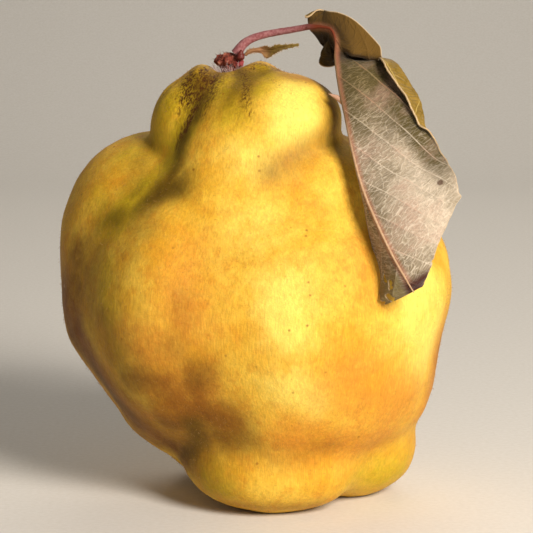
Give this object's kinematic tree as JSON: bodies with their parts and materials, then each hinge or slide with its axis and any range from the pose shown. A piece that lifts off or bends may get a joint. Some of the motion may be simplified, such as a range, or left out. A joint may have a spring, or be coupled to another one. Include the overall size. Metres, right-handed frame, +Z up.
{
  "type": "quince",
  "caption": "Lumpy yellow quince standing on its blossom end, with a broken spur and one dried, folded leaf on its crown.",
  "frame": {"origin": "middle of the footprint, on the surface the fruit stands on", "axes": "+Z up through the crown; -Y towards the side with the hanging leaf's felted face; +X towards the leaf"},
  "size_m": [0.0846, 0.0734, 0.1051],
  "materials": {
    "skin": "ripe golden skin, matt, with a fine grey down, olive in the creases of the crown",
    "dried_sepal": "dry brown sepals, dull",
    "bark": "torn reddish bark, rough",
    "bud_scale": "dark red bud scales, slightly waxy",
    "dried_leaf": "grey-buff felt with pale raised veins below, olive above, red stalk",
    "dried_stipule": "dry olive-brown, dull"
  },
  "bodies": {
    "root": {"fruit": "skin", "calyx": "dried_sepal", "spur": "bark", "bud": "bud_scale", "leaf": "dried_leaf", "stipule": "dried_stipule"}
  },
  "joints": []
}
